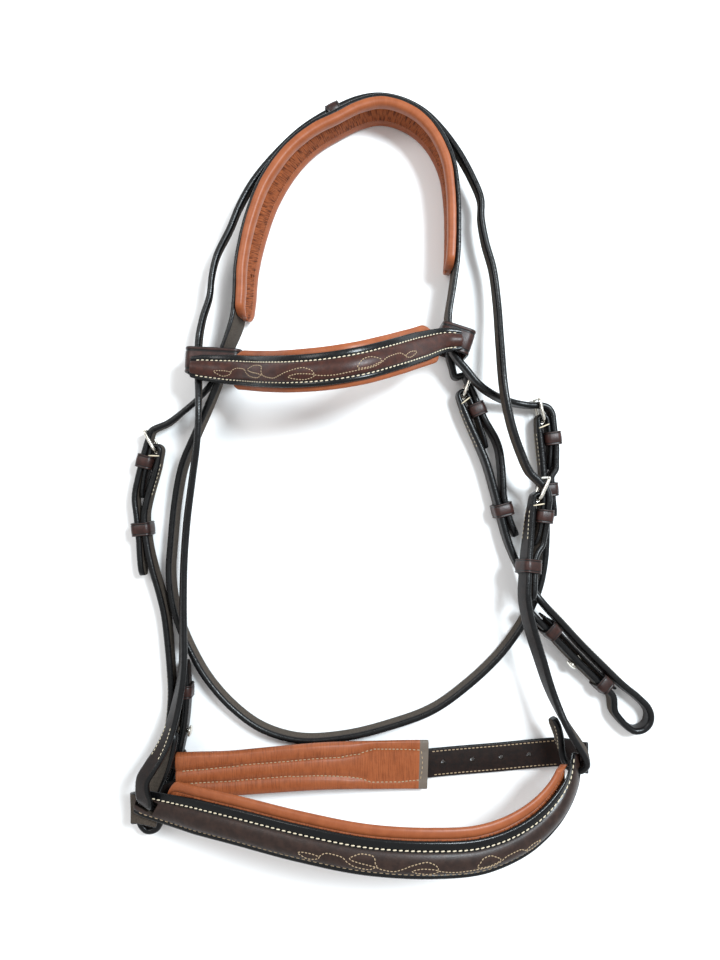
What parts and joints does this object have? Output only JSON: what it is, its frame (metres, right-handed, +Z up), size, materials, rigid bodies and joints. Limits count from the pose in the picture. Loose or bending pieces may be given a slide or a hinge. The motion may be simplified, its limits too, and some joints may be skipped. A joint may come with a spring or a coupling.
{
  "type": "padded horse bridle",
  "caption": "Raised padded leather bridle laid flat on its back: padded headpiece, arched browband and noseband, buckled cheekpieces, throatlatch and padded chin strap.",
  "frame": {"origin": "centre of the footprint, on the table that the bridle lies on", "axes": "+Z up from the table, +Y from the noseband towards the headpiece, +X towards the cheekpiece whose bit loop stands out sideways"},
  "size_m": [0.4098, 0.5755, 0.1032],
  "materials": {
    "brown_leather": "satin bridle leather, dark brown with near-black edges",
    "tan_leather": "smooth padded leather, reddish tan",
    "nickel": "polished nickel-coloured metal"
  },
  "bodies": {
    "bridle": {"crown_strap": "brown_leather", "crown_pad": "tan_leather", "crown_keeper": "brown_leather", "left_cheek_strap": "brown_leather", "left_cheek_buckle": "nickel", "left_cheek_billet": "brown_leather", "left_cheek_keeper": "brown_leather", "left_cheek_hook_stud": "nickel", "left_cheek_lining": "brown_leather", "left_cheek_bit_keeper_upper": "brown_leather", "left_cheek_bit_keeper_lower": "brown_leather", "right_cheek_strap": "brown_leather", "right_cheek_buckle": "nickel", "right_cheek_billet": "brown_leather", "right_cheek_keeper": "brown_leather", "right_cheek_hook_stud": "nickel", "right_cheek_lining": "brown_leather", "right_cheek_bit_keeper_upper": "brown_leather", "right_cheek_bit_keeper_lower": "brown_leather", "throatlatch": "brown_leather", "throat_buckle": "nickel", "throat_billet": "brown_leather", "throat_keeper": "brown_leather", "noseband_hanger": "brown_leather", "noseband_buckle": "nickel", "noseband_headstrap": "brown_leather", "noseband_keeper": "brown_leather"},
    "browband": {"browband_strap": "brown_leather", "browband_padding": "tan_leather", "browband_loop_left": "brown_leather", "browband_loop_right": "brown_leather"},
    "noseband": {"noseband_strap": "brown_leather", "noseband_padding": "tan_leather", "chin_strap": "brown_leather", "chin_buckle": "nickel", "chin_billet": "brown_leather", "chin_keeper": "brown_leather", "chin_pad": "tan_leather"},
    "left_cheek_tongue": {"left_cheek_tongue": "nickel"},
    "right_cheek_tongue": {"right_cheek_tongue": "nickel"},
    "throat_tongue": {"throat_tongue": "nickel"},
    "noseband_tongue": {"noseband_tongue": "nickel"},
    "chin_tongue": {"chin_tongue": "nickel"},
    "left_cheek_runner": {"left_cheek_runner": "brown_leather"},
    "right_cheek_runner": {"right_cheek_runner": "brown_leather"},
    "throat_runner": {"throat_runner": "brown_leather"},
    "noseband_runner": {"noseband_runner": "brown_leather"},
    "chin_runner": {"chin_runner": "brown_leather"}
  },
  "joints": [
    {"name": "browband_slide", "type": "slide", "parent": "bridle", "child": "browband", "axis": [0.1822, 0.9833, 0], "range_m": [-0.002, 0.006]},
    {"name": "noseband_tip", "type": "hinge", "parent": "bridle", "child": "noseband", "pos_m": [-0.18785, -0.2558, 0.0299], "axis": [0.9964, 0.0852, 0.0033], "range_deg": [0, 2]},
    {"name": "left_cheek_tongue_swing", "type": "hinge", "parent": "bridle", "child": "left_cheek_tongue", "pos_m": [-0.18492, 0.01334, 0.0104], "axis": [-0.0018, -0.0069, 1], "range_deg": [0, 6]},
    {"name": "right_cheek_tongue_swing", "type": "hinge", "parent": "bridle", "child": "right_cheek_tongue", "pos_m": [0.0551, 0.05618, 0.01027], "axis": [0.0002, -0.0006, -1], "range_deg": [0, 6]},
    {"name": "throat_tongue_swing", "type": "hinge", "parent": "bridle", "child": "throat_tongue", "pos_m": [0.11718, 0.03676, 0.01027], "axis": [-0.0035, 0.0289, -0.9996], "range_deg": [0, 6]},
    {"name": "noseband_tongue_swing", "type": "hinge", "parent": "bridle", "child": "noseband_tongue", "pos_m": [0.10898, -0.02396, 0.02895], "axis": [-0.0484, -0.0088, -0.9988], "range_deg": [0, 6]},
    {"name": "chin_tongue_swing", "type": "hinge", "parent": "noseband", "child": "chin_tongue", "pos_m": [-0.05215, -0.2386, 0.01043], "axis": [-0.0854, 0.9963, 0], "range_deg": [0, 6]},
    {"name": "left_cheek_runner_slide", "type": "slide", "parent": "bridle", "child": "left_cheek_runner", "axis": [0.0942, -0.9955, -0.0128], "range_m": [-0.003, 0.005]},
    {"name": "right_cheek_runner_slide", "type": "slide", "parent": "bridle", "child": "right_cheek_runner", "axis": [0.253, -0.9675, 0.0018], "range_m": [-0.002, 0.005]},
    {"name": "throat_runner_slide", "type": "slide", "parent": "bridle", "child": "throat_runner", "axis": [0.0855, -0.9958, -0.0333], "range_m": [-0.004, 0.005]},
    {"name": "noseband_runner_slide", "type": "slide", "parent": "bridle", "child": "noseband_runner", "axis": [-0.0963, -0.9805, 0.1713], "range_m": [-0.003, 0.005]},
    {"name": "chin_runner_slide", "type": "slide", "parent": "noseband", "child": "chin_runner", "axis": [-0.9988, -0.0488, -0.0026], "range_m": [-0.004, 0.005]}
  ]
}
